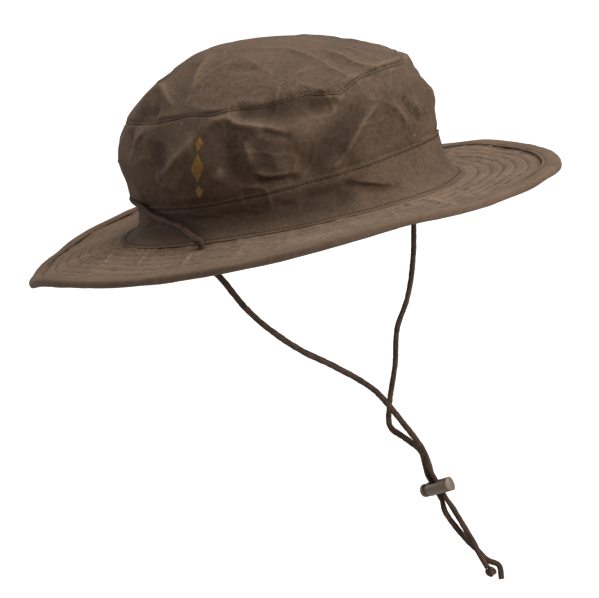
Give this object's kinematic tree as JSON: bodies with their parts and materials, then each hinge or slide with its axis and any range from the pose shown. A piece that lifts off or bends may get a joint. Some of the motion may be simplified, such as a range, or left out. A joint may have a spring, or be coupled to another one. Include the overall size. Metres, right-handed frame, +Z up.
{
  "type": "bush hat with chin cord",
  "caption": "Soft domed bush hat with a banded crown, a wide quilted drooping brim with a bound edge, and a leather chin cord drawn up by a sprung cord lock.",
  "frame": {"origin": "the middle of the head opening, level with the brim where it leaves the crown, where a head holds the hat", "axes": "+X towards the front, +Y towards the wearer's left, +Z up through the crown"},
  "size_m": [0.3352, 0.3004, 0.3415],
  "materials": {
    "crown_cloth": "dark brown waxed cotton, matt, with lighter worn creases",
    "brim_cloth": "brown waxed cotton, quilted in rings",
    "binding_cloth": "brown waxed cotton, folded and topstitched",
    "cord_leather": "dark brown rough leather",
    "lock_plastic": "grey-brown plastic with a soft sheen"
  },
  "bodies": {
    "hat": {"crown_side": "crown_cloth", "crown_top": "crown_cloth", "crown_band": "crown_cloth", "brim": "brim_cloth", "brim_binding": "binding_cloth", "chin_cord_round_crown": "cord_leather", "chin_cord_right": "cord_leather", "chin_cord_left": "cord_leather", "chin_cord_knot": "cord_leather", "cord_lock_barrel": "lock_plastic"},
    "lock_plunger": {"cord_lock_plunger": "lock_plastic"}
  },
  "joints": [
    {"name": "plunger_press", "type": "slide", "parent": "hat", "child": "lock_plunger", "axis": [0.9763, 0, 0.2164], "range_m": [0, 0.0017], "stiffness_N_per_m": 400, "springref_m": -0.002}
  ]
}
